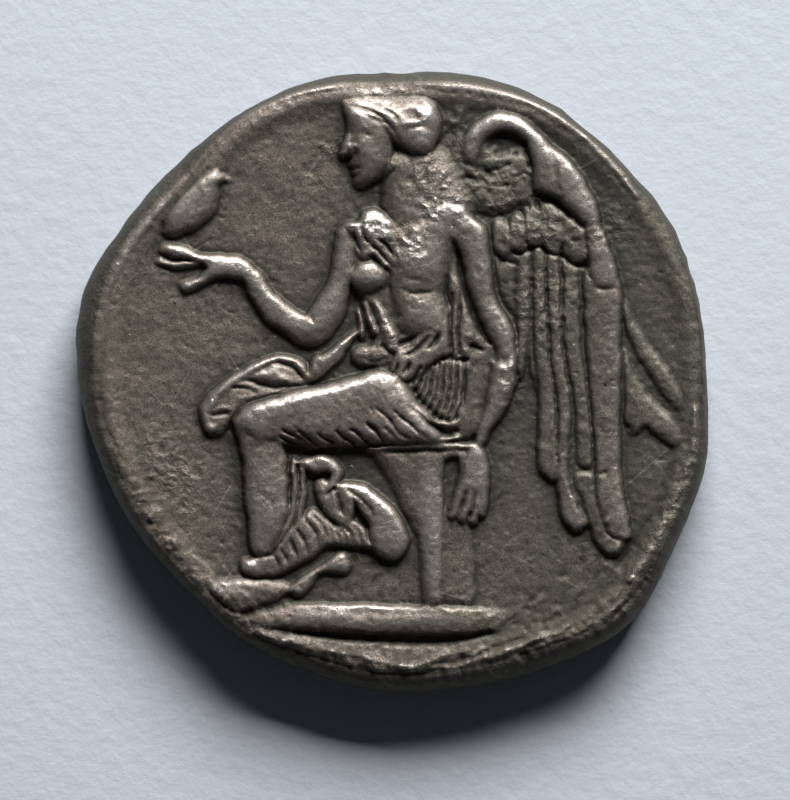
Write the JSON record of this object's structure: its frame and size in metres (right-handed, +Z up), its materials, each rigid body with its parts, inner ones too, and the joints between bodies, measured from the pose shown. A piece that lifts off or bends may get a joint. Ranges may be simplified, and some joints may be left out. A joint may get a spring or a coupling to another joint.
{
  "type": "stater coin",
  "caption": "Hand-struck silver coin lying flat: a seated winged figure holding a bird in relief above, a worn head in low relief below.",
  "frame": {"origin": "middle of the coin's outline, on the surface that it lies on", "axes": "+Z up through the coin's thickness, +X towards the seated figure's back, +Y towards its head"},
  "size_m": [0.0216, 0.0212, 0.0027],
  "materials": {
    "silver": "worn silver with a grey-brown tone"
  },
  "bodies": {
    "root": {"coin": "silver"}
  },
  "joints": []
}
